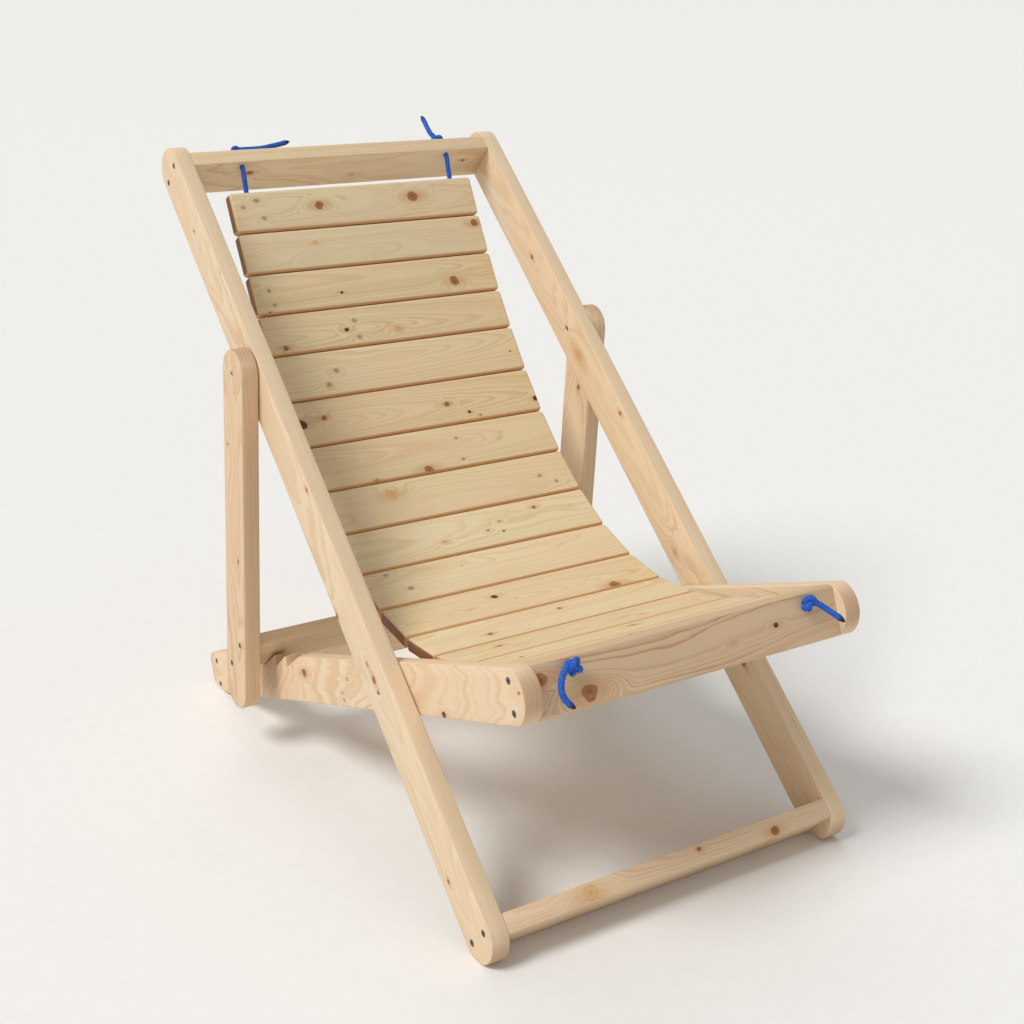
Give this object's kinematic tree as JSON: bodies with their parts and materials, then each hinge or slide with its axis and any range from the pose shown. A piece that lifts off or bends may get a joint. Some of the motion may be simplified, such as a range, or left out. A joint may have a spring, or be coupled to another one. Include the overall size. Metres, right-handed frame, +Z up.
{
  "type": "chaise lounge",
  "caption": "Folding deck chair in planed pine with a sling of rope-threaded slats, a notched seat frame and a prop frame.",
  "frame": {"origin": "on the floor, under the middle of the chair without its loose rope ends", "axes": "+X to the right of someone looking along +Y, +Y towards the high back end, +Z up"},
  "size_m": [0.6594, 1.0576, 0.9612],
  "materials": {
    "frame_pine": "planed, untreated",
    "slat_pine": "planed, untreated",
    "rope": "braided synthetic cord",
    "zinc": "bright zinc plate"
  },
  "bodies": {
    "back_frame": {"back_rail_left": "frame_pine", "back_rail_right": "frame_pine", "top_rail": "frame_pine", "bottom_rail": "frame_pine", "head_ropes": "rope", "head_knots": "rope", "head_tail_left": "rope", "head_tail_right": "rope", "top_rail_screws": "zinc", "bottom_rail_screws": "zinc", "seat_pivot_left": "zinc", "seat_pivot_right": "zinc", "prop_pivot_left": "zinc", "prop_pivot_right": "zinc", "pivot_washers": "zinc"},
    "seat_frame": {"seat_rail_left": "frame_pine", "seat_rail_right": "frame_pine", "front_rail": "frame_pine", "rear_rail": "frame_pine", "front_ropes": "rope", "front_knots": "rope", "front_tail_left": "rope", "front_tail_right": "rope", "front_rail_screws": "zinc", "rear_rail_screws": "zinc"},
    "prop_frame": {"prop_leg_left": "frame_pine", "prop_leg_right": "frame_pine", "prop_bar": "frame_pine", "prop_bar_screws": "zinc"},
    "slat_pair_01": {"slat_01": "slat_pine", "slat_02": "slat_pine", "rope_01": "rope", "rope_02": "rope"},
    "slat_pair_03": {"slat_03": "slat_pine", "slat_04": "slat_pine", "rope_03": "rope", "rope_04": "rope"},
    "slat_pair_05": {"slat_05": "slat_pine", "slat_06": "slat_pine", "rope_05": "rope", "rope_06": "rope"},
    "slat_pair_07": {"slat_07": "slat_pine", "slat_08": "slat_pine", "rope_07": "rope", "rope_08": "rope"},
    "slat_body_09": {"slat_09": "slat_pine", "rope_09": "rope"},
    "slat_body_10": {"slat_10": "slat_pine", "rope_10": "rope"},
    "slat_body_11": {"slat_11": "slat_pine", "rope_11": "rope"},
    "slat_body_12": {"slat_12": "slat_pine", "rope_12": "rope"},
    "slat_body_13": {"slat_13": "slat_pine", "rope_13": "rope"},
    "slat_body_14": {"slat_14": "slat_pine", "rope_14": "rope"},
    "slat_body_15": {"slat_15": "slat_pine", "rope_15": "rope"}
  },
  "joints": [
    {"name": "seat_fold", "type": "hinge", "parent": "back_frame", "child": "seat_frame", "pos_m": [0, -0.20413, 0.26733], "axis": [1, 0, 0], "range_deg": [-30, 0]},
    {"name": "prop_swing", "type": "hinge", "parent": "back_frame", "child": "prop_frame", "pos_m": [0, 0.19168, 0.62876], "axis": [1, 0, 0], "range_deg": [-20.1, 0]},
    {"name": "sling_01", "type": "hinge", "parent": "back_frame", "child": "slat_pair_01", "pos_m": [0, 0.43539, 0.8563], "axis": [1, 0, 0], "range_deg": [0, 1.9]},
    {"name": "sling_03", "type": "hinge", "parent": "slat_pair_01", "child": "slat_pair_03", "pos_m": [0, 0.36913, 0.73299], "axis": [1, 0, 0], "range_deg": [0, 1.3]},
    {"name": "sling_05", "type": "hinge", "parent": "slat_pair_03", "child": "slat_pair_05", "pos_m": [0, 0.29444, 0.61462], "axis": [1, 0, 0], "range_deg": [0, 0.7]},
    {"name": "sling_07", "type": "hinge", "parent": "slat_pair_05", "child": "slat_pair_07", "pos_m": [0, 0.19543, 0.48902], "axis": [1, 0, 0], "range_deg": [-0.4, 0]},
    {"name": "sling_15", "type": "hinge", "parent": "seat_frame", "child": "slat_body_15", "pos_m": [0, -0.45109, 0.37962], "axis": [1, 0, 0], "range_deg": [-2.8, 0]},
    {"name": "sling_14", "type": "hinge", "parent": "slat_body_15", "child": "slat_body_14", "pos_m": [0, -0.37859, 0.34581], "axis": [1, 0, 0], "range_deg": [0, 4.6]},
    {"name": "sling_13", "type": "hinge", "parent": "slat_body_14", "child": "slat_body_13", "pos_m": [0, -0.30341, 0.31845], "axis": [1, 0, 0], "range_deg": [0, 6.7]},
    {"name": "sling_12", "type": "hinge", "parent": "slat_body_13", "child": "slat_body_12", "pos_m": [0, -0.22531, 0.30114], "axis": [1, 0, 0], "range_deg": [0, 7]},
    {"name": "sling_11", "type": "hinge", "parent": "slat_body_12", "child": "slat_body_11", "pos_m": [0, -0.14536, 0.29835], "axis": [1, 0, 0], "range_deg": [0, 6.7]},
    {"name": "sling_10", "type": "hinge", "parent": "slat_body_11", "child": "slat_body_10", "pos_m": [0, -0.06657, 0.31224], "axis": [1, 0, 0], "range_deg": [0, 5.5]},
    {"name": "sling_09", "type": "hinge", "parent": "slat_body_10", "child": "slat_body_09", "pos_m": [0, 0.00812, 0.34091], "axis": [1, 0, 0], "range_deg": [0, 3.1]}
  ],
  "couplings": [
    {"joint": "prop_swing", "follows": "seat_fold", "ratio": 0.667},
    {"joint": "sling_01", "follows": "seat_fold", "ratio": -0.06},
    {"joint": "sling_03", "follows": "seat_fold", "ratio": -0.04},
    {"joint": "sling_05", "follows": "seat_fold", "ratio": -0.02},
    {"joint": "sling_07", "follows": "seat_fold", "ratio": 0.01},
    {"joint": "sling_15", "follows": "seat_fold", "ratio": 0.09},
    {"joint": "sling_14", "follows": "seat_fold", "ratio": -0.15},
    {"joint": "sling_13", "follows": "seat_fold", "ratio": -0.22},
    {"joint": "sling_12", "follows": "seat_fold", "ratio": -0.23},
    {"joint": "sling_11", "follows": "seat_fold", "ratio": -0.22},
    {"joint": "sling_10", "follows": "seat_fold", "ratio": -0.18},
    {"joint": "sling_09", "follows": "seat_fold", "ratio": -0.1}
  ]
}
